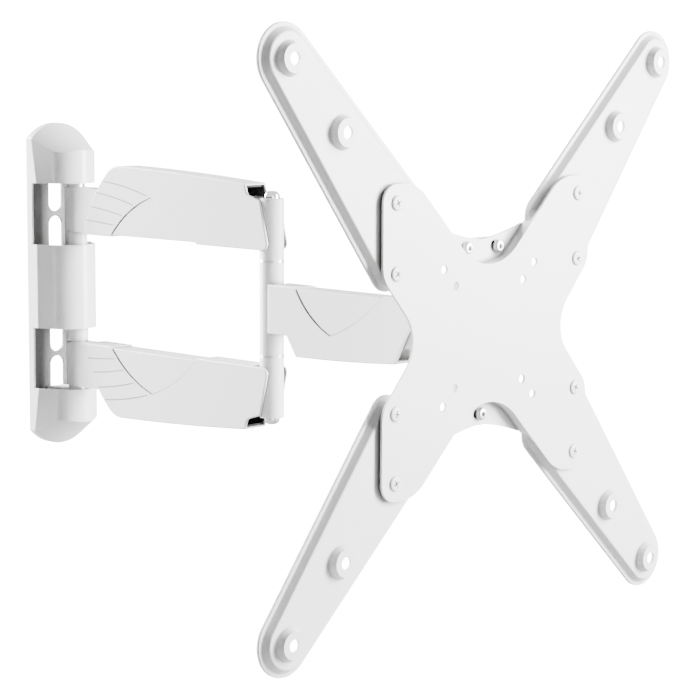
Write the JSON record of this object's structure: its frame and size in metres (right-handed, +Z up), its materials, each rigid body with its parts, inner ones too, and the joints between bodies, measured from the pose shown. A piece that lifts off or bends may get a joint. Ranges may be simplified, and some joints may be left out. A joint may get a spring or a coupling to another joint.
{
  "type": "full motion tv wall mount",
  "caption": "Full motion wall mount for a flat screen: a wall plate, folding arms, and a tilting, levelling screen plate with extension arms.",
  "frame": {"origin": "centre of the wall plate's back face, where it meets the wall", "axes": "+Z up, -Y out from the wall into the room, +X to the right as seen from the room"},
  "size_m": [0.449, 0.5255, 0.449],
  "materials": {
    "white_steel": "satin white powder coat",
    "white_cover": "smooth white moulding",
    "zinc": "zinc plated",
    "bright_chrome": "polished chrome",
    "grey_steel": "grey primer on sheet steel",
    "black_liner": "black sheet",
    "bush": "black bearing polymer"
  },
  "bodies": {
    "wall_part": {"wall_plate": "grey_steel", "pivot_tube": "white_steel", "hinge_bracket": "white_steel", "upper_pivot_lug": "white_steel", "lower_pivot_lug": "white_steel", "pivot_bolts": "zinc", "pivot_washers": "zinc", "upper_cap": "white_cover", "middle_cover": "white_cover", "lower_cap": "white_cover"},
    "arms": {"upper_arm_beam": "white_steel", "lower_arm_beam": "white_steel", "upper_elbow_tube": "white_steel", "lower_elbow_tube": "white_steel", "arm_bushes": "bush", "upper_arm_liner": "black_liner", "lower_arm_liner": "black_liner", "upper_arm_left_cover": "white_cover", "upper_arm_left_door": "white_cover", "upper_arm_right_cover": "white_cover", "upper_arm_right_door": "white_cover", "lower_arm_left_cover": "white_cover", "lower_arm_left_door": "white_cover", "lower_arm_right_cover": "white_cover", "lower_arm_right_door": "white_cover", "elbow_bolt": "zinc", "elbow_cap_nuts": "bright_chrome", "elbow_washers": "zinc"},
    "forearm": {"elbow_sleeve": "white_steel", "elbow_bushes": "bush", "forearm_beam": "white_steel", "swivel_barrel": "white_steel", "swivel_bushes": "bush", "forearm_left_cover": "white_cover", "forearm_left_door": "white_cover", "forearm_right_cover": "white_cover", "forearm_right_door": "white_cover"},
    "yoke": {"swivel_yoke": "white_steel", "swivel_bolt": "bright_chrome", "swivel_nut": "zinc", "swivel_washers": "zinc"},
    "tilt_head": {"head_plate": "white_steel", "tilt_bolt": "zinc", "tilt_knob": "white_cover", "level_screws": "white_steel", "level_nuts": "zinc"},
    "screen_plate": {"adapter_plate": "white_steel", "centre_plate": "white_steel", "upper_left_extension": "white_steel", "upper_right_extension": "white_steel", "lower_left_extension": "white_steel", "lower_right_extension": "white_steel", "extension_screws": "white_steel", "extension_nuts": "zinc"}
  },
  "joints": [
    {"name": "shoulder", "type": "hinge", "parent": "wall_part", "child": "arms", "pos_m": [0, -0.032, 0], "axis": [0, 0, 1], "range_deg": [-90, 90]},
    {"name": "elbow", "type": "hinge", "parent": "arms", "child": "forearm", "pos_m": [0, -0.288, 0], "axis": [0, 0, -1], "range_deg": [-134, 134]},
    {"name": "swivel", "type": "hinge", "parent": "forearm", "child": "yoke", "pos_m": [0, -0.4755, 0], "axis": [0, 0, 1], "range_deg": [-75, 75]},
    {"name": "tilt", "type": "hinge", "parent": "yoke", "child": "tilt_head", "pos_m": [0, -0.4985, 0], "axis": [1, 0, 0], "range_deg": [-5, 15]},
    {"name": "level", "type": "hinge", "parent": "tilt_head", "child": "screen_plate", "pos_m": [0, -0.5135, 0], "axis": [0, -1, 0], "range_deg": [-3, 3]}
  ]
}
